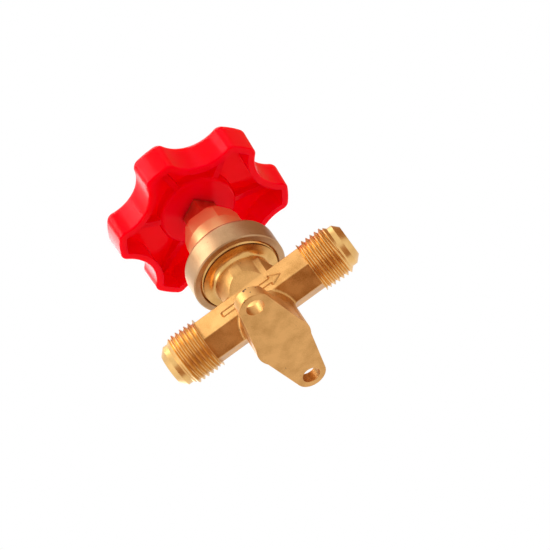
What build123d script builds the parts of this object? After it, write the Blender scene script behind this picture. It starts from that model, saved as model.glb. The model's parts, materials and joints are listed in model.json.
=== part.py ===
from build123d import *
from math import cos, hypot, radians, sqrt, tan
import os

# Packless diaphragm service valve: forged body with two flare ends and a two-ear base,
# screwed bonnet, rising spindle and six-lobe handwheel. Millimetres.
# Origin: centre of the base's underside. +Z runs up the spindle, +X along the flow,
# -Y is the face with the flow arrow. Modelled fully open.

# ---- Clearances ----
RUN = 0.05            # radial running clearance of a shaft or guide in its bore
THREAD_PLAY = 0.05    # radial clearance between mating thread crests
SLIP = 0.05           # radial clearance of a loose washer, ring or disc
TOUCH = 0.03          # gap between pieces that bear on each other across the lift

# ---- Base flange ----
HOLE_SPACING = 38.0
HOLE_D = 5.5
EAR_WALL = 2.05
EAR_T = 3.6
PAD_T = 5.6           # base thickness beside the trunk
PAD_SLOPE = 45        # slope from the ear's seat up to the thick part, degrees
BASE_BEND_R = 1.2
BASE_EDGE_R = 0.3
BASE_INSET = 0.25     # base sides inside the trunk's skin
FOOT_R = 3.0          # cove between the base and the trunk

# ---- Trunk and hexagonal arms ----
TRUNK_R = 8.5
PORT_Z = 16.7
ARM_AF = 12.7
ARM_HALF = 18.4
ARM_EDGE_R = 0.45
FORGE_R = 1.0         # blend between trunk, cheek and arms

# ---- Flare ends, M16 x 1.5 with a 45 degree seat ----
THREAD_D = 16.0
THREAD_LEN = 8.6
THREAD_CHAMFER = 1.4
NOSE_D = 13.2
NOSE_LEN = 1.5
SEAT_FACE_D = 9.5
PORT_D = 7.1

# ---- Cup at the top of the body ----
NECK_H = 11.5         # port axis to the foot of the cup's flare
FLARE_H = 2.6
FLARE_W = 3.3
LIP_H = 0.7           # turned lip at the rim of the flare
CUP_STEP = 0.6        # thread crest outside the lip
CUP_H = 4.6           # lip to top face
CUP_WALL = 1.2
LEDGE_DROP = 1.6      # diaphragm ledge below the top face

# ---- Passages and seat ----
TRUNK_WALL = 1.5
ORIFICE_D = 6.4
SEAT_LIP = 0.8
SEAT_H = 3.65         # seat above the chamber floor
PASSAGE_D = 3.6
PASSAGE_LEAN = 22     # lean of the outlet passage, degrees
PASSAGE_INSET = 0.3   # chamber floor left between the seat and the passage
PORT_WEB = 2.8        # wall between the seat bore and the outlet bore
DIAPHRAGM_REACH = 2.8 # width of the clamped rim of the diaphragms
ROOM_H = 1.6          # depth of the room under the diaphragms

# ---- Cheek between the outlet arm and the cup, over the passage ----
CHEEK_FLAT = 1.75     # cheek's flat beyond the arm's root
CHEEK_OUT = 1.3       # cheek's end beyond the trunk
CHEEK_DROP = 1.8      # top of the cheek's end below the flare
CHEEK_SLOPE = 60      # slope of its end, degrees

# ---- Diaphragm pack ----
LIFT = 2.25
GASKET_T = 0.3
DIAPHRAGM_T = 0.2
DIAPHRAGM_NAMES = ("diaphragm_lower", "diaphragm_middle", "diaphragm_upper")
DOME_FLAT_R = 4.8
RING_H = 1.6

# ---- Disc holder, seat disc and spring ----
HOLDER_TOP_R = 4.2
HOLDER_NECK_H = 2.7
GUIDE_H = 3.0
GUIDE_NOTCH_R = 1.3   # flow notches round the guide
GUIDE_NOTCHES = 6
HOLDER_CUP_WALL = 0.8
DISC_D = 8.8
DISC_T = 1.8
DISC_PROUD = 0.4
DISC_ROOF = 0.2       # disc pocket below the guide's underside
DISC_SCREW_D = 2.5
DISC_SCREW_HEAD_D = 4.4
DISC_SCREW_HEAD_H = 1.1
DISC_SCREW_LEN = 4.2
DISC_WASHER_D = 5.0
DISC_WASHER_T = 0.4
SLOT_W = 0.6
SLOT_DEPTH = 0.5
SPRING_WIRE = 0.8
SPRING_TURNS = 3.5

# ---- Thrust pad and ball ----
PAD_H = 2.6
PAD_FOOT_H = 1.2
PAD_CLEAR = 0.2
BALL_D = 3.0
BALL_GAP = 0.6        # pad to spindle, bridged by the ball

# ---- Bonnet ----
SKIRT_WALL = 2.15
SKIRT_H = 8.4
MOUTH_CHAMFER = 0.2
SKIRT_EDGE = 0.35
BONNET_NECK_R = 9.4
BONNET_NECK_H = 8.5
BONNET_AF = 16.0
BONNET_HEX_H = 5.9
HEX_CHAMFER_H = 1.6
HEX_TOP_STEP = 0.5    # turned top circle outside the flats
SHOULDER_R = 1.6
NECK_FILLET = 1.5
NUT_THREAD_H = 5.4

# ---- Spindle ----
SPINDLE_D = 13.9
JOURNAL_D = 11.5
COLLAR_H = 1.8
COLLAR_STEP = 0.45
SPINDLE_THREAD_H = 5.2
SQUARE = 8.0
SQUARE_CHAMFER = 0.35
SQUARE_BARE = 5.85    # square shank in sight between journal and hub
SQUARE_TIP = 0.5
JOURNAL_MARGIN = 0.3
O_RING_CORD = 1.3
O_RING_SQUEEZE = 0.1

# ---- Handwheel ----
WHEEL_R = 27.6        # lobe ends at the rim
WHEEL_H = 11.4
WHEEL_TURN = -34.5    # where the lobes stand when fully open, degrees
WHEEL_DRAFT = 3.0     # degrees
LOBES = 6
VALLEY_R = 12.4
VALLEY_OFFSET = 34.0
LOBE_CORNER_R = 2.4
WHEEL_WALL = 2.2
WHEEL_TOP_T = 2.6
WHEEL_TOP_R = 2.4
WHEEL_LIP_R = 0.5
HUB_R = 12.4
HUB_EDGE_R = 1.2
HUB_RISE = 5.1        # hub face above the rim's edge
RIB_T = 1.9
RIB_STEP = 0.5        # rib edges above the hub's face
RIB_TIP_H = 0.8       # rib height left at the lobe
SOCKET_DEPTH = 3.6
SOCKET_PLAY = 0.05
WEB_T = 1.3
RECESS_R = 7.2

# ---- Wheel fixing, M4 ----
SCREW_D = 4.0
SCREW_LEN = 11.0
SCREW_HEAD_D = 7.8
SCREW_HEAD_H = 2.4
SCREW_DOME_R = 1.4
SCREW_END_GAP = 1.0
CROSS_W = 1.0
CROSS_SPAN = 4.2
CROSS_DEPTH = 1.4
WASHER_D = 10.0
WASHER_T = 0.8
LOCK_WASHER_D = 7.0
LOCK_WASHER_T = 0.9
LOCK_SPLIT = 0.8
LOCK_SPLIT_LEAN = 30  # degrees

# ---- Heights that follow, from the base up ----
TRUNK_TOP = PORT_Z + NECK_H
LIP_Z = TRUNK_TOP + FLARE_H
CUP_TOP_Z = LIP_Z + CUP_H
LEDGE_Z = CUP_TOP_Z - LEDGE_DROP
PACK_Z = LEDGE_Z + GASKET_T
PACK_TOP_Z = PACK_Z + len(DIAPHRAGM_NAMES) * DIAPHRAGM_T
RING_TOP_Z = PACK_TOP_Z + RING_H
HOLDER_TOP_Z = PACK_Z + LIFT - TOUCH
GUIDE_TOP_Z = HOLDER_TOP_Z - HOLDER_NECK_H
GUIDE_Z = GUIDE_TOP_Z - GUIDE_H
DISC_TOP_Z = GUIDE_Z - DISC_ROOF
DISC_Z = DISC_TOP_Z - DISC_T
DISC_WASHER_Z = DISC_Z - DISC_WASHER_T
SEAT_Z = DISC_Z - LIFT - TOUCH
CHAMBER_Z = SEAT_Z - SEAT_H
PAD_Z = PACK_TOP_Z + LIFT + TOUCH
PAD_TOP_Z = PAD_Z + PAD_H
BALL_Z = PAD_TOP_Z + BALL_GAP / 2
SPINDLE_Z = PAD_TOP_Z + BALL_GAP
COLLAR_TOP_Z = SPINDLE_Z + COLLAR_H
ROOF_Z = COLLAR_TOP_Z + RUN
SHOULDER_Z = LIP_Z + SKIRT_H
BONNET_HEX_Z = SHOULDER_Z + BONNET_NECK_H
BONNET_TOP_Z = BONNET_HEX_Z + BONNET_HEX_H
NUT_THREAD_TOP_Z = ROOF_Z + NUT_THREAD_H
JOURNAL_Z = COLLAR_TOP_Z + SPINDLE_THREAD_H
JOURNAL_TOP_Z = BONNET_TOP_Z + LIFT + JOURNAL_MARGIN
O_RING_Z = (NUT_THREAD_TOP_Z + LIFT + BONNET_TOP_Z) / 2
HUB_Z = JOURNAL_TOP_Z + SQUARE_BARE
SOCKET_ROOF_Z = HUB_Z + SOCKET_DEPTH
WHEEL_Z = HUB_Z - HUB_RISE
WHEEL_TOP_Z = WHEEL_Z + WHEEL_H
RECESS_Z = SOCKET_ROOF_Z + WEB_T
WASHER_TOP_Z = RECESS_Z + WASHER_T
LOCK_TOP_Z = WASHER_TOP_Z + LOCK_WASHER_T

# ---- Lengths and radii that follow ----
PORT_END = ARM_HALF + THREAD_LEN + THREAD_CHAMFER + NOSE_LEN + (NOSE_D - SEAT_FACE_D) / 2
EAR_R = HOLE_D / 2 + EAR_WALL
CHEEK_X = sqrt(TRUNK_R ** 2 - (ARM_AF / 2) ** 2) + CHEEK_FLAT
CHEEK_NOSE = TRUNK_R + CHEEK_OUT - CHEEK_X
LIP_R = TRUNK_R + FLARE_W
CUP_THREAD_R = LIP_R + CUP_STEP
PACK_BORE_R = CUP_THREAD_R - CUP_WALL
PACK_R = PACK_BORE_R - SLIP
CHAMBER_R = TRUNK_R - TRUNK_WALL
ROOM_R = PACK_BORE_R - DIAPHRAGM_REACH
HOLDER_CUP_R = DISC_D / 2 + HOLDER_CUP_WALL
SPRING_R = (HOLDER_CUP_R + CHAMBER_R) / 2
COLLAR_R = SPINDLE_D / 2 + COLLAR_STEP
PAD_ROOM_R = COLLAR_R + PAD_CLEAR
SKIRT_BORE_R = CUP_THREAD_R + THREAD_PLAY
SKIRT_R = SKIRT_BORE_R + SKIRT_WALL
GLAND_R = JOURNAL_D / 2 + RUN


def turned(*points):
    """Solid of revolution about Z from a closed outline of (radius, height) points."""
    outline = Polyline(*[(radius, 0, height) for radius, height in points], close=True)
    return revolve(make_face(outline), Axis.Z)


def post(radius, low, high):
    """Round post on the Z axis between two heights."""
    return Pos(0, 0, (low + high) / 2) * Cylinder(radius, high - low)


def ring(inner, outer, low, high):
    """Flat ring on the Z axis between two heights."""
    return post(outer, low, high) - post(inner, low, high)


def bar(radius, start, end):
    """Round bar along the port axis between two X positions."""
    return Pos((start + end) / 2, 0, PORT_Z) * Rot(0, 90, 0) * Cylinder(radius, end - start)


def slab(outline, low, high):
    """Upright slab with a plan outline between two heights."""
    return Pos(0, 0, low) * extrude(outline, high - low)


def ear_places():
    """Centres of the two base holes."""
    return [Pos(0, side * HOLE_SPACING / 2, 0) for side in (-1, 1)]


def base_plan():
    """Lozenge outline of the base: a round middle drawn out to the two ears."""
    discs = Sketch() + [Circle(TRUNK_R - BASE_INSET)] + [place * Circle(EAR_R) for place in ear_places()]
    return make_hull(discs.edges())


def base_flange():
    """Two-ear base: thin at the screw seats, thick and coved beside the trunk."""
    seat_edge = HOLE_SPACING / 2 - EAR_R
    crest = seat_edge - (PAD_T - EAR_T) / tan(radians(PAD_SLOPE))
    tip = HOLE_SPACING / 2 + EAR_R
    side = Polyline(
        (0, -tip, 0), (0, tip, 0), (0, tip, EAR_T), (0, seat_edge, EAR_T), (0, crest, PAD_T),
        (0, -crest, PAD_T), (0, -seat_edge, EAR_T), (0, -tip, EAR_T), close=True)
    base = slab(base_plan(), 0, PAD_T) & extrude(make_face(side), TRUNK_R, both=True)
    ends = base.edges().filter_by(Axis.X)
    base = fillet(ends.filter_by(lambda edge: 0 < edge.center().Z), BASE_BEND_R)
    base = fillet(base.edges().group_by(Axis.Z)[0], BASE_EDGE_R)
    cove_r = TRUNK_R + FOOT_R
    cove = Line((0, 0), (cove_r, 0)) + Line((cove_r, 0), (cove_r, PAD_T))
    cove += TangentArc((TRUNK_R, PAD_T + FOOT_R), (cove_r, PAD_T), tangent=(0, -1))
    cove += Polyline((TRUNK_R, PAD_T + FOOT_R), (0, PAD_T + FOOT_R), (0, 0))
    foot = revolve(Plane.XZ * make_face(cove), Axis.Z)
    return base + (foot & slab(base_plan(), EAR_T, PAD_T + FOOT_R))


def hex_arms():
    """Hexagonal bar of the two arms, flats to the front and back, forged corners."""
    section = Plane.YZ * Rot(0, 0, 30) * RegularPolygon(ARM_AF / 2, 6, major_radius=False)
    section = fillet(section.vertices(), ARM_EDGE_R)
    return Pos(0, 0, PORT_Z) * extrude(section, ARM_HALF, both=True)


def flare_end():
    """Outlet flare end: thread blank, nose and 45 degree seat."""
    thread_end = ARM_HALF + THREAD_LEN
    nose = thread_end + THREAD_CHAMFER
    outline = Polyline(
        (ARM_HALF, 0), (ARM_HALF, THREAD_D / 2), (thread_end, THREAD_D / 2), (nose, NOSE_D / 2),
        (nose + NOSE_LEN, NOSE_D / 2), (PORT_END, SEAT_FACE_D / 2), (PORT_END, 0), close=True)
    return Pos(0, 0, PORT_Z) * revolve(Plane.XZ * make_face(outline), Axis.X)


def cheek():
    """Forged cheek, flush with the arm's flats, that carries the outlet passage up to the cup."""
    half = ARM_AF / 2
    nose = CHEEK_X + CHEEK_NOSE
    plan = Polyline(
        (0, -half), (CHEEK_X, -half), (nose, CHEEK_NOSE - half), (nose, half - CHEEK_NOSE),
        (CHEEK_X, half), (0, half), close=True)
    top = TRUNK_TOP - CHEEK_DROP
    foot_x = CHEEK_X + (top - PORT_Z) / tan(radians(CHEEK_SLOPE))
    side = Polyline(
        (0, 0, PORT_Z), (foot_x, 0, PORT_Z), (CHEEK_X, 0, top), (0, 0, TRUNK_TOP), close=True)
    return slab(make_face(plan), PORT_Z, TRUNK_TOP) & extrude(make_face(side), TRUNK_R, both=True)


def cup_blank():
    """Trunk, cove flare, turned lip and thread blank of the cup."""
    lip_low = LIP_Z - LIP_H
    cove = LIP_Z - LIP_H - TRUNK_TOP
    floor = Line((0, 0), (TRUNK_R, 0))
    wall = floor + Line((TRUNK_R, 0), (TRUNK_R, TRUNK_TOP))
    bend = TangentArc((TRUNK_R, TRUNK_TOP), (TRUNK_R + cove, lip_low), tangent=(0, 1))
    rest = Polyline(
        (TRUNK_R + cove, lip_low), (LIP_R, lip_low), (LIP_R, LIP_Z),
        (CUP_THREAD_R, LIP_Z + CUP_STEP), (CUP_THREAD_R, CUP_TOP_Z - CUP_STEP),
        (CUP_THREAD_R - CUP_STEP, CUP_TOP_Z), (0, CUP_TOP_Z), (0, 0))
    return revolve(Plane.XZ * make_face(wall + bend + rest), Axis.Z)


def passage():
    """Slanted bore from the chamber floor's corner down into the outlet bore."""
    lean = radians(PASSAGE_LEAN)
    seat_wall = ORIFICE_D / 2 + SEAT_LIP
    foot_x = seat_wall + (PASSAGE_D / 2 + PASSAGE_INSET) / cos(lean) + (CHAMBER_Z - PORT_Z) * tan(lean)
    length = (CHAMBER_Z + PASSAGE_D / 2 - PORT_Z) / cos(lean)
    bore = Pos(0, 0, length / 2) * Cylinder(PASSAGE_D / 2, length)
    return Pos(foot_x, 0, PORT_Z) * Rot(0, -PASSAGE_LEAN, 0) * bore


def junction_edges(blank):
    """Edges where the trunk meets the two arms and the cheek's sides."""
    low = PAD_T + FOOT_R
    high = PORT_Z + ARM_AF / sqrt(3)

    def on_trunk(edge):
        reach = [hypot((edge @ place).X, (edge @ place).Y) for place in (0, 0.5, 1)]
        return all(abs(radius - TRUNK_R) < TOUCH for radius in reach)

    beside = [edge for edge in blank.edges() if abs(edge.center().X) > TRUNK_R / 2]
    return [edge for edge in beside if low < edge.center().Z < high and on_trunk(edge)]


def forging():
    """Outside of the body: base, trunk, cup, arms, cheek and flare ends."""
    blank = base_flange() + Rot(0, 0, 90) * cup_blank() + cheek() + hex_arms()
    blank = fillet(junction_edges(blank), FORGE_R)
    outlet = flare_end()
    return blank + outlet + Rot(0, 0, 180) * outlet


def valve_body():
    """Forged and turned body in one piece, with its bores."""
    seat_bore = ORIFICE_D / 2
    body = forging()
    body -= bar(PORT_D / 2, -PORT_END, seat_bore)
    body -= bar(PORT_D / 2, seat_bore + PORT_WEB, PORT_END)
    body -= post(seat_bore, PORT_Z, SEAT_Z)
    body -= ring(seat_bore + SEAT_LIP, CHAMBER_R, CHAMBER_Z, SEAT_Z)
    body -= post(CHAMBER_R, SEAT_Z, LEDGE_Z - ROOM_H)
    body -= post(ROOM_R, LEDGE_Z - ROOM_H, LEDGE_Z)
    body -= post(PACK_BORE_R, LEDGE_Z, CUP_TOP_Z)
    body -= passage()
    for place in ear_places():
        body -= place * post(HOLE_D / 2, 0, PAD_T)
    return body


def gasket():
    """Sealing ring between the ledge and the diaphragms."""
    return ring(ROOM_R, PACK_R, LEDGE_Z, PACK_Z)


def diaphragm(low):
    """Domed sheet: flat rim, straight slope and flat middle."""
    under = [(0, low + LIFT), (DOME_FLAT_R, low + LIFT), (ROOM_R, low), (PACK_R, low)]
    over = [(radius, height + DIAPHRAGM_T) for radius, height in reversed(under)]
    return turned(*under, *over)


def clamp_ring():
    """Ring that the bonnet presses on the diaphragms' rims."""
    return ring(ROOM_R, PACK_R, PACK_TOP_Z, RING_TOP_Z)


def thrust_pad():
    """Pad that rides on the diaphragms, with a dimple for the ball."""
    pad = turned(
        (0, PAD_Z), (DOME_FLAT_R - TOUCH, PAD_Z), (DOME_FLAT_R - TOUCH, PAD_Z + PAD_FOOT_H),
        (COLLAR_R, PAD_Z + PAD_FOOT_H), (COLLAR_R, PAD_TOP_Z), (0, PAD_TOP_Z))
    return pad - Pos(0, 0, BALL_Z) * Sphere(BALL_D / 2)


def thrust_ball():
    """Ball between the pad and the spindle."""
    return Pos(0, 0, BALL_Z) * Sphere(BALL_D / 2 - TOUCH)


def disc_holder():
    """Guided holder: cup for the seat disc, notched guide and push face."""
    holder = turned(
        (0, DISC_TOP_Z), (DISC_D / 2, DISC_TOP_Z), (DISC_D / 2, DISC_Z + DISC_PROUD),
        (HOLDER_CUP_R, DISC_Z + DISC_PROUD), (HOLDER_CUP_R, GUIDE_Z), (CHAMBER_R - RUN, GUIDE_Z),
        (CHAMBER_R - RUN, GUIDE_TOP_Z), (HOLDER_TOP_R, GUIDE_TOP_Z), (HOLDER_TOP_R, HOLDER_TOP_Z),
        (0, HOLDER_TOP_Z))
    notch = Pos(CHAMBER_R, 0, 0) * post(GUIDE_NOTCH_R, GUIDE_Z, GUIDE_TOP_Z)
    for index in range(GUIDE_NOTCHES):
        holder -= Rot(0, 0, index * 360 / GUIDE_NOTCHES) * notch
    return holder - post(DISC_SCREW_D / 2, DISC_TOP_Z, DISC_WASHER_Z + DISC_SCREW_LEN)


def seat_disc():
    """Soft disc that closes on the seat."""
    return ring(DISC_SCREW_D / 2, DISC_D / 2, DISC_Z, DISC_TOP_Z)


def seat_disc_washer():
    """Washer under the seat disc's screw."""
    return ring(DISC_SCREW_D / 2, DISC_WASHER_D / 2, DISC_WASHER_Z, DISC_Z)


def seat_disc_screw():
    """Slotted cheese-head screw, driven from below."""
    head_low = DISC_WASHER_Z - DISC_SCREW_HEAD_H
    screw = post(DISC_SCREW_HEAD_D / 2, head_low, DISC_WASHER_Z)
    screw += post(DISC_SCREW_D / 2, DISC_WASHER_Z, DISC_WASHER_Z + DISC_SCREW_LEN)
    slot = Pos(0, 0, head_low + SLOT_DEPTH / 2) * Box(DISC_SCREW_HEAD_D, SLOT_W, SLOT_DEPTH)
    return screw - slot


def return_spring():
    """Coil between the chamber floor and the holder's guide."""
    rise = GUIDE_Z - CHAMBER_Z - SPRING_WIRE
    path = Helix(rise / SPRING_TURNS, rise, SPRING_R)
    section = (path ^ 0) * Circle(SPRING_WIRE / 2 - TOUCH)
    return Pos(0, 0, CHAMBER_Z + SPRING_WIRE / 2) * sweep(section, path, is_frenet=True)


def bonnet_blank():
    """Outside of the bonnet: smooth skirt, round neck and hexagon."""
    low = LIP_Z
    profile = Polyline(
        (0, low), (SKIRT_R, low), (SKIRT_R, SHOULDER_Z), (BONNET_NECK_R, SHOULDER_Z),
        (BONNET_NECK_R, BONNET_HEX_Z), (0, BONNET_HEX_Z), close=True)
    outline = make_face(profile)
    corners = outline.vertices()
    outline = chamfer(corners.sort_by_distance((SKIRT_R, low))[0], SKIRT_EDGE)
    outline = fillet(outline.vertices().sort_by_distance((SKIRT_R, SHOULDER_Z))[0], SHOULDER_R)
    outline = fillet(outline.vertices().sort_by_distance((BONNET_NECK_R, SHOULDER_Z))[0], NECK_FILLET)
    plan = RegularPolygon(BONNET_AF / 2, 6, major_radius=False)
    top_r = BONNET_AF / 2 + HEX_TOP_STEP
    corner_r = BONNET_AF / sqrt(3)
    envelope = turned(
        (0, BONNET_HEX_Z), (corner_r, BONNET_HEX_Z), (corner_r, BONNET_TOP_Z - HEX_CHAMFER_H),
        (top_r, BONNET_TOP_Z), (0, BONNET_TOP_Z))
    return revolve(Plane.XZ * outline, Axis.Z) + (slab(plan, BONNET_HEX_Z, BONNET_TOP_Z) & envelope)


def bonnet():
    """Screwed cap with its thread bore, pad room, nut thread and gland bore."""
    thread_r = SPINDLE_D / 2 + THREAD_PLAY
    bore = turned(
        (0, LIP_Z), (SKIRT_BORE_R + MOUTH_CHAMFER, LIP_Z), (SKIRT_BORE_R, LIP_Z + MOUTH_CHAMFER),
        (SKIRT_BORE_R, RING_TOP_Z), (PAD_ROOM_R, RING_TOP_Z), (PAD_ROOM_R, ROOF_Z), (thread_r, ROOF_Z),
        (thread_r, NUT_THREAD_TOP_Z), (GLAND_R, NUT_THREAD_TOP_Z), (GLAND_R, BONNET_TOP_Z),
        (0, BONNET_TOP_Z))
    return bonnet_blank() - bore


def square_post(width, chamfer_size, low, high):
    """Square post on the Z axis with small corner chamfers."""
    plan = Rectangle(width, width)
    return slab(chamfer(plan.vertices(), chamfer_size), low, high)


def spindle():
    """Spindle: stop collar, thread, sealed journal and square end with a tapped hole."""
    journal = JOURNAL_D / 2
    groove_r = GLAND_R - O_RING_CORD
    groove_low = O_RING_Z - O_RING_CORD / 2 - SLIP
    groove_high = O_RING_Z + O_RING_CORD / 2 + SLIP
    shaft = turned(
        (0, SPINDLE_Z), (COLLAR_R, SPINDLE_Z), (COLLAR_R, COLLAR_TOP_Z), (SPINDLE_D / 2, COLLAR_TOP_Z),
        (SPINDLE_D / 2, JOURNAL_Z), (journal, JOURNAL_Z), (journal, groove_low), (groove_r, groove_low),
        (groove_r, groove_high), (journal, groove_high), (journal, JOURNAL_TOP_Z), (0, JOURNAL_TOP_Z))
    tip = SOCKET_ROOF_Z - SQUARE_TIP
    shaft += square_post(SQUARE, SQUARE_CHAMFER, JOURNAL_TOP_Z, tip)
    shaft -= post(SCREW_D / 2, LOCK_TOP_Z - SCREW_LEN - SCREW_END_GAP, tip)
    return shaft - Pos(0, 0, BALL_Z) * Sphere(BALL_D / 2)


def spindle_o_ring():
    """O-ring in the journal's groove, slightly squeezed by the bonnet's bore."""
    section = Circle(O_RING_CORD / 2) & Rectangle(O_RING_CORD - O_RING_SQUEEZE, O_RING_CORD)
    return revolve(Plane.XZ * Pos(GLAND_R - O_RING_CORD / 2, O_RING_Z) * section, Axis.Z)


def wheel_outline(inset):
    """Six-lobe outline, moved inwards from the rim's outline."""
    plan = Circle(WHEEL_R - inset)
    for index in range(LOBES):
        turn = Rot(0, 0, (index + 0.5) * 360 / LOBES)
        plan -= turn * Pos(VALLEY_OFFSET, 0) * Circle(VALLEY_R + inset)
    return fillet(plan.vertices(), max(LOBE_CORNER_R - inset, WHEEL_LIP_R))


def wheel_prism(inset, height):
    """Drafted six-lobe block that widens from the rim's plane upwards."""
    growth = height * tan(radians(WHEEL_DRAFT))
    foot = Pos(0, 0, WHEEL_Z) * wheel_outline(inset)
    head = Pos(0, 0, WHEEL_Z + height) * wheel_outline(inset - growth)
    return loft([foot.face(), head.face()], ruled=True)


def handwheel():
    """Moulded hollow wheel with a hub, six ribs and a square socket, lobe on +X."""
    roof = WHEEL_TOP_Z - WHEEL_TOP_T
    shell = wheel_prism(0, WHEEL_H)
    shell = fillet(shell.faces().sort_by(Axis.Z)[-1].edges(), WHEEL_TOP_R)
    shell = fillet(shell.faces().sort_by(Axis.Z)[0].edges(), WHEEL_LIP_R)
    cavity = wheel_prism(WHEEL_WALL, roof - WHEEL_Z)
    hub = fillet(post(HUB_R, HUB_Z, roof).edges().group_by(Axis.Z)[0], HUB_EDGE_R)
    rib_low = HUB_Z + RIB_STEP
    side = Polyline(
        (0, rib_low), (HUB_R, rib_low), (WHEEL_R, roof - RIB_TIP_H), (WHEEL_R, roof), (0, roof), close=True)
    rib = extrude(Plane.XZ * make_face(side), RIB_T / 2, both=True)
    ribs = Part() + [Rot(0, 0, index * 360 / LOBES) * rib for index in range(LOBES)]
    wheel = shell - (cavity - hub - ribs)
    wheel -= square_post(SQUARE + 2 * SOCKET_PLAY, SQUARE_CHAMFER, HUB_Z, SOCKET_ROOF_Z)
    wheel -= post(RECESS_R, RECESS_Z, WHEEL_TOP_Z)
    return wheel - post(SCREW_D / 2 + SOCKET_PLAY, SOCKET_ROOF_Z, RECESS_Z)


def wheel_washer():
    """Flat washer in the wheel's recess."""
    return ring(SCREW_D / 2 + SLIP, WASHER_D / 2, RECESS_Z, WASHER_TOP_Z)


def wheel_lock_washer():
    """Split spring washer under the screw head."""
    washer = ring(SCREW_D / 2 + SLIP, LOCK_WASHER_D / 2, WASHER_TOP_Z, LOCK_TOP_Z)
    middle = (WASHER_TOP_Z + LOCK_TOP_Z) / 2
    blade = Rot(LOCK_SPLIT_LEAN, 0, 0) * Box(LOCK_WASHER_D, LOCK_SPLIT, LOCK_WASHER_D)
    return washer - Pos(LOCK_WASHER_D / 2, 0, middle) * blade


def wheel_screw():
    """Domed cross-slot screw that holds the wheel on the square."""
    head = post(SCREW_HEAD_D / 2, LOCK_TOP_Z, LOCK_TOP_Z + SCREW_HEAD_H)
    head = fillet(head.edges().group_by(Axis.Z)[-1], SCREW_DOME_R)
    shank = post(SCREW_D / 2, LOCK_TOP_Z - SCREW_LEN, LOCK_TOP_Z)
    blade = Box(CROSS_SPAN, CROSS_W, CROSS_DEPTH) + Box(CROSS_W, CROSS_SPAN, CROSS_DEPTH)
    return head + shank - Pos(0, 0, LOCK_TOP_Z + SCREW_HEAD_H - CROSS_DEPTH / 2) * blade


def pieces():
    """Every piece of the valve by name, in place."""
    turn = Rot(0, 0, WHEEL_TURN)
    made = {
        "valve_body": valve_body(),
        "bonnet": bonnet(),
        "diaphragm_gasket": gasket(),
        "clamp_ring": clamp_ring(),
        "thrust_pad": thrust_pad(),
        "thrust_ball": thrust_ball(),
        "disc_holder": disc_holder(),
        "seat_disc": seat_disc(),
        "seat_disc_washer": seat_disc_washer(),
        "seat_disc_screw": seat_disc_screw(),
        "return_spring": return_spring(),
        "spindle": turn * spindle(),
        "spindle_o_ring": spindle_o_ring(),
        "handwheel": turn * handwheel(),
        "wheel_washer": wheel_washer(),
        "wheel_lock_washer": turn * wheel_lock_washer(),
        "wheel_screw": turn * wheel_screw(),
    }
    for index, name in enumerate(DIAPHRAGM_NAMES):
        made[name] = diaphragm(PACK_Z + index * DIAPHRAGM_T)
    return made


os.makedirs("parts", exist_ok=True)
for name, solid in pieces().items():
    export_step(solid, f"parts/{name}.step")
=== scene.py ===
# Looks of the refrigerant service valve: the forging's thread grooves, flow arrow and flat band,
# copies of the spring and diaphragms, which in the valve flex with the stem, and the finishes,
# floor, light and camera.
# Metres, in the imported model's own frame: Z up the spindle, X along the flow, -Y the arrow side.
import bpy
import json
import math
from mathutils import Matrix, Vector

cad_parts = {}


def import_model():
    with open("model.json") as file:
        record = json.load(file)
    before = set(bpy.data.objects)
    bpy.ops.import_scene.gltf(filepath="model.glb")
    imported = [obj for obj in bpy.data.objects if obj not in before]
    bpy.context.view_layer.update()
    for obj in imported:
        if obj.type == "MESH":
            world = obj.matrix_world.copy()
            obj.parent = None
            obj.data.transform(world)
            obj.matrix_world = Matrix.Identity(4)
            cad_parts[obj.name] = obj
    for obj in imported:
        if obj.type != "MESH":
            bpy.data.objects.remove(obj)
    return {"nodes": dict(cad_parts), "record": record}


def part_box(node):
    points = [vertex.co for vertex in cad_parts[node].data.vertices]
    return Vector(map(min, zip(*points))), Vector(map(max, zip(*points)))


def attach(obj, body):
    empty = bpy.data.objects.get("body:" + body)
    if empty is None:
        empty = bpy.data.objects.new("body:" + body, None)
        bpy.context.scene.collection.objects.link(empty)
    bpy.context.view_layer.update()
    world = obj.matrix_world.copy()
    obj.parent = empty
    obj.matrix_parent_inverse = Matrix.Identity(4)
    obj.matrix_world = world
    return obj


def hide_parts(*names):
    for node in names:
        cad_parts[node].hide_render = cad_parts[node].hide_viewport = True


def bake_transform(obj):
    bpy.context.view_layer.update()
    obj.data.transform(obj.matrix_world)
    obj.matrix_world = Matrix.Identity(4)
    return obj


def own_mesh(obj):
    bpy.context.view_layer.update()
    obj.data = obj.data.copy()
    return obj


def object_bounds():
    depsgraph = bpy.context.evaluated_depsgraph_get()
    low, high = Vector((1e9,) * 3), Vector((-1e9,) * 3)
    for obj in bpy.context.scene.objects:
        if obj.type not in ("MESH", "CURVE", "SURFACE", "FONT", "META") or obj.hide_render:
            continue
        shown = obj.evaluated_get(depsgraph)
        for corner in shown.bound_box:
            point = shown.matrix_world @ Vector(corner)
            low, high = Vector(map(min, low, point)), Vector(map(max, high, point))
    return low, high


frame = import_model()
cad_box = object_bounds()
MM = 0.001

# ---- Places from the frame ----
body_low, body_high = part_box("valve_body")
bonnet_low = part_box("bonnet")[0]
port_z = next(m["pos_m"][2] for m in frame["record"]["mounts"] if m["name"] == "inlet_thread")
middle = (cad_box[0] + cad_box[1]) / 2

# ---- Sizes of the forging ----
flare_length = 13.35 * MM     # end of the hexagon arm to the flare's tip
arm_end = body_high.x - flare_length
arm_half = 6.35 * MM          # half the hexagon's width over its flats
trunk_r = 8.5 * MM
turned_x = arm_end - 0.01 * MM        # turned from here out, the arm's end face with it
cup_foot = port_z + 11.6 * MM         # just above the foot of the cup's flare

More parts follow.
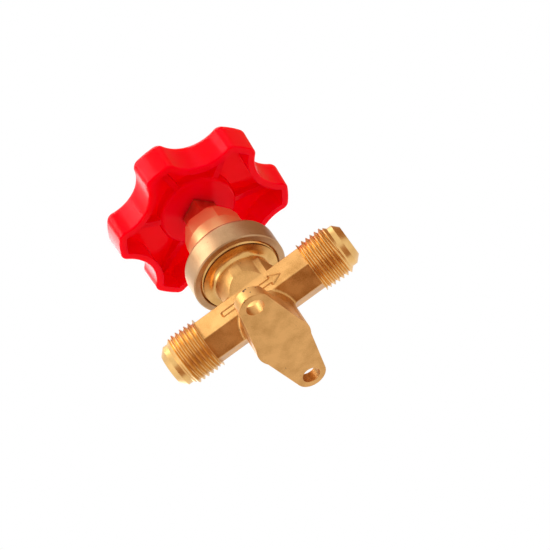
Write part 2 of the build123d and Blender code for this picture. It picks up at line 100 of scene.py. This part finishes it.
# ---- Flare thread ----
thread_r = 8.0 * MM
thread_pitch = 1.5 * MM
thread_length = 8.6 * MM
thread_depth = 0.92 * MM
thread_steps = 72             # steps in each turn of a groove
flank_drop = 0.14 * MM        # top of the straight flanks below the crest
# Widths of a groove from its flanks' top outwards: share of the pitch, and rise in mm
groove_widths = ((0.76, 0), (0.91, 0.1), (0.97, 0.04), (0.97, 0.3))

# ---- Flow arrow ----
arrow_z = port_z - 0.3 * MM
arrow_tail, arrow_head, arrow_tip = -10.1 * MM, 6.8 * MM, 10.3 * MM   # along X
arrow_shaft, arrow_barb = 0.9 * MM, 2.05 * MM                         # half widths
stroke_r = 0.32 * MM

# ---- Band across the trunk ----
band_proud = 0.02 * MM        # band in front of the arm flats
band_reach = trunk_r + 2 * MM         # reach of its cutter, along X and outwards
band_slope = 1.7              # rise over run of the slope above it

# ---- Mesh work ----
weld_gap = 0.001 * MM         # points closer than this are one
cad_weld_gap = 0.0005 * MM
flat_angle = math.radians(0.05)       # CAD faces closer to one plane than this are one
smooth_angle = math.radians(32)       # edges sharper than this stay sharp


# ---- Modelling helpers ----

def only(piece):
    """Makes one piece the active and only selected one."""
    bpy.ops.object.select_all(action="DESELECT")
    piece.select_set(True)
    bpy.context.view_layer.objects.active = piece


def pick(piece, wanted, kind="FACE"):
    """Edit mode, with only those faces, edges or points selected for which wanted is true.

    wanted gets a face's centre and normal, an edge's middle and run, or a point's place.
    """
    only(piece)
    bpy.ops.object.mode_set(mode="EDIT")
    bpy.ops.mesh.select_mode(type=kind)
    bpy.ops.mesh.select_all(action="DESELECT")
    bpy.ops.object.mode_set(mode="OBJECT")
    mesh = piece.data
    parts = {"FACE": mesh.polygons, "EDGE": mesh.edges, "VERT": mesh.vertices}[kind]
    for part in parts:
        if kind == "FACE":
            part.select = bool(wanted(part.center, part.normal))
        elif kind == "EDGE":
            ends = [mesh.vertices[index].co for index in part.vertices]
            part.select = bool(wanted((ends[0] + ends[1]) / 2, ends[1] - ends[0]))
        else:
            part.select = bool(wanted(part.co))
    bpy.ops.object.mode_set(mode="EDIT")


def pick_all(piece):
    """Edit mode with the whole piece selected."""
    only(piece)
    bpy.ops.object.mode_set(mode="EDIT")
    bpy.ops.mesh.select_all(action="SELECT")


def done(piece):
    """Back to object mode, with the piece's place put into its mesh."""
    if bpy.context.mode != "OBJECT":
        bpy.ops.object.mode_set(mode="OBJECT")
    only(piece)
    bpy.ops.object.transform_apply(location=True, rotation=True, scale=True)
    return piece


def named(name):
    """The newly added primitive, with its name."""
    piece = bpy.context.object
    piece.name = name
    piece.data.name = name
    return piece


def apply_all(piece):
    """Applies a piece's modifiers in their order."""
    only(piece)
    for modifier in list(piece.modifiers):
        bpy.ops.object.modifier_apply(modifier=modifier.name)


def joined(pieces):
    """Several pieces as one mesh."""
    bpy.ops.object.select_all(action="DESELECT")
    for piece in pieces:
        piece.select_set(True)
    bpy.context.view_layer.objects.active = pieces[0]
    bpy.ops.object.join()
    return pieces[0]


def carve(piece, cutters):
    """Takes cutters, which may overlap, out of a piece and throws them away."""
    cutter = joined(cutters)
    cut = piece.modifiers.new("cut", "BOOLEAN")
    cut.operation = "DIFFERENCE"
    cut.solver = "EXACT"
    cut.use_self = True
    cut.object = cutter
    apply_all(piece)
    bpy.data.objects.remove(cutter)


def weld(piece):
    """Merges points that a cut left almost on top of each other."""
    pick_all(piece)
    bpy.ops.mesh.remove_doubles(threshold=weld_gap)
    bpy.ops.mesh.dissolve_degenerate(threshold=weld_gap)
    bpy.ops.object.mode_set(mode="OBJECT")


def worked_copy(node, name):
    """A merged copy of a CAD node's mesh, ready to be worked on."""
    source = frame["nodes"][node]
    piece = bpy.data.objects.new(name, source.data.copy())
    bpy.context.scene.collection.objects.link(piece)
    only(piece)
    bpy.ops.mesh.customdata_custom_splitnormals_clear()
    pick_all(piece)
    bpy.ops.mesh.remove_doubles(threshold=cad_weld_gap)
    bpy.ops.mesh.mark_sharp(clear=True)
    bpy.ops.mesh.dissolve_limited(angle_limit=flat_angle)
    bpy.ops.object.mode_set(mode="OBJECT")
    return piece


# ---- The forging ----

def thread_cutter(advance, turns):
    """Groove with rolled crests round one flare end; advance is its travel in each turn."""
    root = thread_r - thread_depth
    flank = thread_r - flank_drop
    start = arm_end + 0.5 * thread_pitch
    width = thread_pitch / 6
    bpy.ops.mesh.primitive_plane_add(size=1, location=(start, (root + flank) / 2, 0))
    cutter = named("thread_groove")
    cutter.scale = (width, flank - root, 1)
    done(cutter)
    for share, rise in groove_widths:
        top = max(point.co.y for point in cutter.data.vertices)
        pick(cutter, lambda centre, _: centre.y > top - weld_gap, "EDGE")
        if rise:
            bpy.ops.mesh.extrude_edges_move(TRANSFORM_OT_translate={"value": (0, rise * MM, 0)})
        spread = share * thread_pitch / width
        bpy.ops.transform.resize(value=(spread, 1, 1), center_override=(start, top, 0))
        width = share * thread_pitch
        bpy.ops.object.mode_set(mode="OBJECT")
    pick(cutter, lambda *_: True)
    bpy.ops.mesh.dissolve_faces()
    bpy.ops.mesh.delete(type="ONLY_FACE")
    bpy.ops.object.mode_set(mode="OBJECT")
    coil = cutter.modifiers.new("coil", "SCREW")
    coil.axis = "X"
    coil.screw_offset = advance
    coil.iterations = turns
    coil.steps = coil.render_steps = thread_steps
    coil.use_merge_vertices = False
    apply_all(cutter)
    pick_all(cutter)
    bpy.ops.mesh.remove_doubles(threshold=weld_gap)
    bpy.ops.mesh.fill_holes(sides=0)
    bpy.ops.mesh.select_all(action="SELECT")
    bpy.ops.mesh.normals_make_consistent(inside=False)
    bpy.ops.transform.translate(value=(0, 0, port_z))
    return done(cutter)


def thread_cutters():
    """Right-hand grooves for both flare ends, each with a plain ring where it starts."""
    turns = math.ceil(thread_length / thread_pitch)
    cutters = []
    for turned in (0, math.pi):
        for advance, rounds in ((thread_pitch, turns), (0, 1)):
            cutter = thread_cutter(advance, rounds)
            cutter.rotation_euler.z = turned
            cutters.append(done(cutter))
    return cutters


def stroke(start, end):
    """V-shaped cutter for one stroke of the arrow, between two (x, z) places on the flats."""
    start, end = Vector((start[0], 0, start[1])), Vector((end[0], 0, end[1]))
    run = end - start
    centre = (start + end) / 2
    bpy.ops.mesh.primitive_cylinder_add(vertices=4, radius=stroke_r, depth=run.length)
    cutter = named("arrow_stroke")
    cutter.rotation_mode = "QUATERNION"
    cutter.rotation_quaternion = run.to_track_quat("Z", "Y")
    cutter.location = (centre.x, -arm_half, centre.z)
    return done(cutter)


def arrow_cutters():
    """Outline arrow on the front flats of the arms, pointing downstream."""
    strokes = []
    for side in (-1, 1):
        shaft, barb = arrow_z + side * arrow_shaft, arrow_z + side * arrow_barb
        strokes.append(((arrow_tail, shaft), (arrow_head, shaft)))
        strokes.append(((arrow_head, shaft), (arrow_head, barb)))
        strokes.append(((arrow_head, barb), (arrow_tip, arrow_z)))
    strokes.append(((arrow_tail, arrow_z - arrow_shaft), (arrow_tail, arrow_z + arrow_shaft)))
    return [stroke(start, end) for start, end in strokes]


def band_cutter(side):
    """Prism that cuts the trunk flush with one pair of arm flats, with a slope above them."""
    flat_top = arm_half / math.sqrt(3)
    near = arm_half + band_proud
    centre_y = (band_reach + near) / 2
    bpy.ops.mesh.primitive_cube_add(size=1)
    cutter = named("band_cut")
    cutter.scale = (2 * band_reach, band_reach - near, 2 * flat_top)
    cutter.location = (0, side * centre_y, port_z)
    done(cutter)
    pick(cutter, lambda at: at.z > port_z and abs(at.y) > centre_y, "VERT")
    bpy.ops.transform.translate(value=(0, 0, (band_reach - near) * band_slope))
    return done(cutter)


def forging():
    """The valve body with its threads, arrow and band."""
    piece = worked_copy("valve_body", "forged_body")
    carve(piece, thread_cutters() + arrow_cutters() + [band_cutter(-1), band_cutter(1)])
    weld(piece)
    bpy.ops.object.shade_smooth_by_angle(angle=smooth_angle)
    even = piece.modifiers.new("even", "WEIGHTED_NORMAL")
    even.keep_sharp = True
    apply_all(piece)
    return piece


# ---- Node helpers ----

def blank_material(name):
    """New material and its node tree."""
    material = bpy.data.materials.new(name)
    material.use_nodes = True
    return material, material.node_tree


def new_finish(name):
    """New material with its tree, its shader and the place on the piece."""
    material, tree = blank_material(name)
    place = tree.nodes.new("ShaderNodeTexCoord")
    return material, tree, tree.nodes["Principled BSDF"], place.outputs["Object"]


def node(tree, kind, **settings):
    """New node with its settings and unlinked input values."""
    made = tree.nodes.new(kind)
    for key, value in settings.items():
        if hasattr(made, key):
            setattr(made, key, value)
        else:
            made.inputs[key.replace("_", " ").title()].default_value = value
    return made


def maths(tree, operation, *values):
    """Result of a maths node on outputs and plain numbers."""
    made = node(tree, "ShaderNodeMath", operation=operation)
    for socket, value in zip(made.inputs, values):
        if isinstance(value, bpy.types.NodeSocket):
            tree.links.new(value, socket)
        else:
            socket.default_value = value
    return made.outputs[0]


def speckle(tree, where, size, detail, stretch=(1, 1, 1)):
    """Noise of a given grain size in metres."""
    mapping = node(tree, "ShaderNodeMapping")
    mapping.inputs["Scale"].default_value = stretch
    tree.links.new(where, mapping.inputs["Vector"])
    noise = node(tree, "ShaderNodeTexNoise", scale=1 / size, detail=detail)
    tree.links.new(mapping.outputs["Vector"], noise.inputs["Vector"])
    return noise.outputs["Fac"]


def span(tree, amount, low, high, start=0.3, end=0.7):
    """Maps the range start to end onto low to high; the defaults suit a noise."""
    ranged = node(tree, "ShaderNodeMapRange", from_min=start, from_max=end, to_min=low, to_max=high)
    tree.links.new(amount, ranged.inputs["Value"])
    return ranged.outputs["Result"]


def blend_colours(tree, amount, *stops):
    """Colour ramp over an amount; stops are (position, colour)."""
    ramp = node(tree, "ShaderNodeValToRGB")
    points = ramp.color_ramp.elements
    while len(points) < len(stops):
        points.new(0.5)
    for point, (position, colour) in zip(points, stops):
        point.position = position
        point.color = (*colour, 1)
    tree.links.new(amount, ramp.inputs["Fac"])
    return ramp.outputs["Color"]


def tinted(tree, amount, colour, tint):
    """Turns a colour output into one plain tint by an amount."""
    mix = node(tree, "ShaderNodeMix", data_type="RGBA")
    tree.links.new(amount, mix.inputs["Factor"])
    tree.links.new(colour, mix.inputs["A"])
    mix.inputs["B"].default_value = (*tint, 1)
    return mix.outputs["Result"]


def relief(tree, shader, *layers):
    """Stacks bumps; layers are (height output, depth in metres)."""
    normal = None
    for height, depth in layers:
        bump = node(tree, "ShaderNodeBump")
        bump.inputs["Strength"].default_value = 1
        bump.inputs["Distance"].default_value = depth
        tree.links.new(height, bump.inputs["Height"])
        if normal:
            tree.links.new(normal, bump.inputs["Normal"])
        normal = bump.outputs["Normal"]
    tree.links.new(normal, shader.inputs["Normal"])


# ---- Finishes ----

def pitted(tree, colour, place):
    """Paints dark spots at scattered small pits, closer together on the front ear's rim: painted
    shade for pits that have no depth in the mesh, and the grime in them.
    """
    pit_gap, patch = 1.3 * MM, 4 * MM
    scattered, crowded = 0.11, 0.42   # largest pits, as a share of the gap between them
    ear_rim, rim_near, rim_far = (0, body_low.y, 5 * MM), 0.5 * MM, 5.5 * MM
    # dark spot colour: painted shade inside the pits, with their grime
    pit_shade_and_grime = (0.10, 0.06, 0.04)
    spots = node(tree, "ShaderNodeTexVoronoi", scale=1 / pit_gap, randomness=1.0)
    tree.links.new(place, spots.inputs["Vector"])
    all_over = span(tree, speckle(tree, place, patch, 1), 0.0, scattered, 0.48, 0.7)
    away = node(tree, "ShaderNodeVectorMath", operation="DISTANCE")
    tree.links.new(place, away.inputs[0])
    away.inputs[1].default_value = ear_rim
    at_rim = span(tree, away.outputs["Value"], crowded, 0.0, rim_near, rim_far)
    reach = maths(tree, "ADD", all_over, at_rim)
    pit = maths(tree, "LESS_THAN", spots.outputs["Distance"], reach)
    return tinted(tree, pit, colour, pit_shade_and_grime)


def metal(name, deep, bright, rough, grain, grain_depth, metallic=1.0, lines=None, pits=False):
    """Metal finish: mottled colour, uneven gloss and fine grain.

    lines is an axis with turning lines across it, pits adds dark spots at pits, painted shade with
    grime since the pits have no depth, and rough=None leaves the gloss to the caller.
    """
    mottle, mottle_depth = 6 * MM, 0.012 * MM
    line_gap, line_depth = 0.3 * MM, 0.006 * MM
    material, tree, shader, place = new_finish(name)
    shader.inputs["Metallic"].default_value = metallic
    broad = speckle(tree, place, mottle, 3)
    fine = speckle(tree, place, grain, 2)
    mixed = maths(tree, "MULTIPLY_ADD", fine, 0.5, broad)
    colour = blend_colours(tree, mixed, (0.5, deep), (0.85, bright))
    # dark pit spots: painted shade and grime
    if pits:
        colour = pitted(tree, colour, place)
    tree.links.new(colour, shader.inputs["Base Color"])
    if rough:
        gloss = span(tree, broad, rough * 0.85, rough * 1.15)
        tree.links.new(gloss, shader.inputs["Roughness"])
    layers = [(fine, grain_depth), (broad, mottle_depth)]
    if lines:
        stretch = tuple(1.0 if axis == lines else 0.0 for axis in "XYZ")
        layers.append((speckle(tree, place, line_gap, 2, stretch), line_depth))
    relief(tree, shader, *layers)
    return material


def dull(name, **look):
    """Finish without metal, for seals and the seat."""
    return metal(name, metallic=0.0, **look)


def bonnet_finish():
    """Dark mottled and pitted brass on the skirt, plain lighter brass on the neck and hexagon."""
    skirt_top, change = bonnet_low.z + 8.0 * MM, 1.0 * MM
    material = metal("bonnet_brass_finish", deep=(0.42, 0.24, 0.115), bright=(0.55, 0.335, 0.175),
                     rough=None, grain=0.26 * MM, grain_depth=0.022 * MM, pits=True)
    tree = material.node_tree
    shader = tree.nodes["Principled BSDF"]
    axes = node(tree, "ShaderNodeSeparateXYZ")
    tree.links.new(tree.nodes["Texture Coordinate"].outputs["Object"], axes.inputs[0])
    above = span(tree, axes.outputs["Z"], 0, 1, skirt_top, skirt_top + change)
    skirt_colour = shader.inputs["Base Color"].links[0].from_socket
    colour = tinted(tree, above, skirt_colour, (0.90, 0.58, 0.26))
    tree.links.new(colour, shader.inputs["Base Color"])
    tree.links.new(span(tree, above, 0.42, 0.44, 0, 1), shader.inputs["Roughness"])
    return material


def red_plastic():
    """Glossy moulded red with faint orange peel."""
    material, tree, shader, place = new_finish("wheel_red")
    broad = speckle(tree, place, 9 * MM, 2)
    colour = blend_colours(tree, broad, (0.35, (0.90, 0.0, 0.004)), (0.7, (0.95, 0.0, 0.010)))
    tree.links.new(colour, shader.inputs["Base Color"])
    tree.links.new(span(tree, broad, 0.15, 0.21), shader.inputs["Roughness"])
    shader.inputs["Specular IOR Level"].default_value = 0.18
    shader.inputs["Specular Tint"].default_value = (1, 0.05, 0.12, 1)
    shader.inputs["Subsurface Weight"].default_value = 0.8
    shader.inputs["Subsurface Radius"].default_value = (1, 0.08, 0.08)
    shader.inputs["Subsurface Scale"].default_value = 6 * MM
    relief(tree, shader, (speckle(tree, place, 1.6 * MM, 2), 0.012 * MM))
    return material


forged_brass = metal("forged_brass_finish", deep=(0.50, 0.24, 0.065), bright=(0.74, 0.40, 0.135),
                     rough=0.42, grain=0.30 * MM, grain_depth=0.028 * MM, pits=True)
turned_brass = metal("turned_brass_finish", deep=(0.64, 0.36, 0.115), bright=(0.86, 0.53, 0.195),
                     rough=0.32, grain=0.12 * MM, grain_depth=0.002 * MM, lines="X")
skirt_brass = bonnet_finish()
cup_brass = metal("cup_brass_finish", deep=(0.56, 0.29, 0.08), bright=(0.78, 0.45, 0.16),
                  rough=0.26, grain=0.12 * MM, grain_depth=0.002 * MM, lines="Z")
spindle_brass = metal("spindle_brass_finish", deep=(0.52, 0.26, 0.09), bright=(0.72, 0.40, 0.17),
                      rough=0.34, grain=0.1 * MM, grain_depth=0.003 * MM)
inner_brass = metal("inner_brass_finish", deep=(0.60, 0.38, 0.15), bright=(0.80, 0.55, 0.26),
                    rough=0.3, grain=0.1 * MM, grain_depth=0.004 * MM, lines="Z")
sheet_steel = metal("diaphragm_steel_finish", deep=(0.45, 0.46, 0.47), bright=(0.62, 0.63, 0.64),
                    rough=0.22, grain=0.1 * MM, grain_depth=0.002 * MM)
wire_steel = metal("spring_steel_finish", deep=(0.34, 0.34, 0.35), bright=(0.50, 0.50, 0.52),
                   rough=0.3, grain=0.08 * MM, grain_depth=0.003 * MM)
ball_steel = metal("ball_steel_finish", deep=(0.50, 0.51, 0.52), bright=(0.66, 0.67, 0.68),
                   rough=0.1, grain=0.1 * MM, grain_depth=0.001 * MM)
zinc_steel = metal("zinc_steel_finish", deep=(0.46, 0.47, 0.46), bright=(0.66, 0.67, 0.66),
                   rough=0.3, grain=0.14 * MM, grain_depth=0.004 * MM)
soft_metal = metal("gasket_finish", deep=(0.40, 0.40, 0.40), bright=(0.58, 0.58, 0.58),
                   rough=0.45, grain=0.1 * MM, grain_depth=0.004 * MM)
seat_white = dull("seat_polymer_finish", deep=(0.62, 0.61, 0.56), bright=(0.74, 0.73, 0.69),
                  rough=0.5, grain=0.2 * MM, grain_depth=0.003 * MM)
seal_black = dull("seal_rubber_finish", deep=(0.012, 0.012, 0.013), bright=(0.03, 0.03, 0.03),
                  rough=0.5, grain=0.1 * MM, grain_depth=0.004 * MM)
wheel_red = red_plastic()

valve_forging = forging()
valve_forging.data.materials.clear()
for finish in (forged_brass, turned_brass, cup_brass):
    valve_forging.data.materials.append(finish)
for face in valve_forging.data.polygons:
    if abs(face.center.x) > turned_x:
        face.material_index = 1
    elif face.center.z > cup_foot:
        face.material_index = 2
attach(valve_forging, "body")
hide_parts("valve_body")

node_finishes = {
    "bonnet": skirt_brass,
    "clamp_ring": inner_brass,
    "diaphragm_gasket": soft_metal,
    "diaphragm_lower": sheet_steel,
    "diaphragm_middle": sheet_steel,
    "diaphragm_upper": sheet_steel,
    "disc_holder": inner_brass,
    "handwheel": wheel_red,
    "return_spring": wire_steel,
    "seat_disc": seat_white,
    "seat_disc_screw": inner_brass,
    "seat_disc_washer": inner_brass,
    "spindle": spindle_brass,
    "spindle_o_ring": seal_black,
    "thrust_ball": ball_steel,
    "thrust_pad": inner_brass,
    "wheel_lock_washer": zinc_steel,
    "wheel_screw": zinc_steel,
    "wheel_washer": zinc_steel,
}
for name, finish in node_finishes.items():
    frame["nodes"][name].data.materials[0] = finish


# ---- Copies of the spring and diaphragms, which flex as the stem moves ----

def flexing(node, name):
    """Copy of a CAD node, in the node's own finish and smooth shaded, shown in place of the node,
    which is hidden.
    """
    piece = worked_copy(node, name)
    bpy.ops.object.shade_smooth_by_angle(angle=smooth_angle)
    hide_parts(node)
    return piece


spring = flexing("return_spring", "spring_coil")
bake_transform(spring)

for layer in ("lower", "middle", "upper"):
    sheet = flexing("diaphragm_" + layer, "membrane_" + layer)
    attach(sheet, "body")
    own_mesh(sheet)


# ---- Floor, light and camera ----

def floor():
    """Pale floor under the base, which only the eye sees, and only from above."""
    width, gap = 20, 0.02 * MM
    bpy.ops.mesh.primitive_plane_add(size=width, location=(0, 0, body_low.z - gap))
    ground = named("floor")
    material, tree = blank_material("floor_pale")
    tree.nodes.remove(tree.nodes["Principled BSDF"])
    pale = node(tree, "ShaderNodeBsdfDiffuse")
    pale.inputs["Color"].default_value = (0.93, 0.93, 0.93, 1)
    clear = node(tree, "ShaderNodeBsdfTransparent")
    side = node(tree, "ShaderNodeNewGeometry")
    path = node(tree, "ShaderNodeLightPath")
    unseen = maths(tree, "SUBTRACT", 1, path.outputs["Is Camera Ray"])
    mix = node(tree, "ShaderNodeMixShader")
    tree.links.new(maths(tree, "MAXIMUM", side.outputs["Backfacing"], unseen), mix.inputs[0])
    tree.links.new(pale.outputs[0], mix.inputs[1])
    tree.links.new(clear.outputs[0], mix.inputs[2])
    tree.links.new(mix.outputs[0], tree.nodes["Material Output"].inputs["Surface"])
    ground.data.materials.append(material)
    done(ground)


def world():
    """White to the eye and in reflections, a touch softer as light."""
    sky = bpy.data.worlds.new("studio")
    sky.use_nodes = True
    bpy.context.scene.world = sky
    tree = sky.node_tree
    backdrop = tree.nodes["Background"]
    backdrop.inputs["Color"].default_value = (1, 1, 1, 1)
    path = node(tree, "ShaderNodeLightPath")
    seen = path.outputs["Is Camera Ray"]
    for ray in ("Is Glossy Ray", "Is Transmission Ray"):
        seen = maths(tree, "MAXIMUM", seen, path.outputs[ray])
    tree.links.new(span(tree, seen, 0.95, 1.0, 0, 1), backdrop.inputs["Strength"])


def aimed(thing, way, distance, front):
    """Sets a lamp or card at a distance in a direction, its front axis towards the valve."""
    way = Vector(way).normalized()
    thing.location = middle + way * distance
    thing.rotation_mode = "QUATERNION"
    thing.rotation_quaternion = (-way).to_track_quat(front, "Y")


def softbox(name, way, distance, size, power):
    """Square area light that faces the valve from a direction."""
    light = bpy.data.lights.new(name, "AREA")
    light.size = size
    light.energy = power
    lamp = bpy.data.objects.new(name, light)
    bpy.context.scene.collection.objects.link(lamp)
    aimed(lamp, way, distance, "-Z")


def flag(name, way, distance, size):
    """Card beside the valve that glows dim brown and only shows in its reflections: painted warm
    brown shade in the metal, standing in for light bounced between brass faces.
    """
    bpy.ops.mesh.primitive_plane_add(size=size)
    card = named(name)
    aimed(card, way, distance, "Z")
    done(card)
    material, tree = blank_material(name)
    glow_card_shader = tree.nodes["Principled BSDF"]
    glow_card_shader.inputs["Base Color"].default_value = (0, 0, 0, 1)
    # brown glow seen only in reflections: painted warm shade on the metal
    glow_card_shader.inputs["Emission Color"].default_value = (0.42, 0.20, 0.08, 1)
    glow_card_shader.inputs["Emission Strength"].default_value = 1
    card.data.materials.append(material)
    card.visible_camera = card.visible_shadow = card.visible_diffuse = False


def camera():
    """Long lens low in front of the valve, rolled."""
    lens = bpy.data.cameras.new("camera")
    lens.lens = 128.45
    lens.sensor_width = 36
    lens.clip_start = 0.01
    eye = bpy.data.objects.new("camera", lens)
    bpy.context.scene.collection.objects.link(eye)
    across = Vector((0.8087, 0.4192, -0.4126))
    up = Vector((0.5867, -0.5243, 0.6172))
    back = across.cross(up).normalized()
    up = back.cross(across).normalized()
    across.normalize()
    eye.matrix_world = Matrix((across, up, back)).transposed().to_4x4()
    eye.location = Vector((32.56, -421.64, -358.38)) * MM
    bpy.context.scene.camera = eye


floor()
world()
softbox("key", (-0.45, -0.62, 0.6), distance=0.5, size=0.3, power=1.0)
softbox("side", (-0.9, -0.4, -0.15), distance=0.5, size=0.2, power=0.35)
softbox("top", (0.15, -0.2, 0.95), distance=0.5, size=0.3, power=0.35)
flag("flag_right", (0.8, 0.1, 0.6), distance=0.16, size=0.2)
flag("flag_front", (0, -0.25, -0.97), distance=0.16, size=0.18)
softbox("back", (-0.6, 0.7, 0.5), distance=0.6, size=0.4, power=0.8)
camera()
bpy.context.scene.view_settings.view_transform = "Standard"
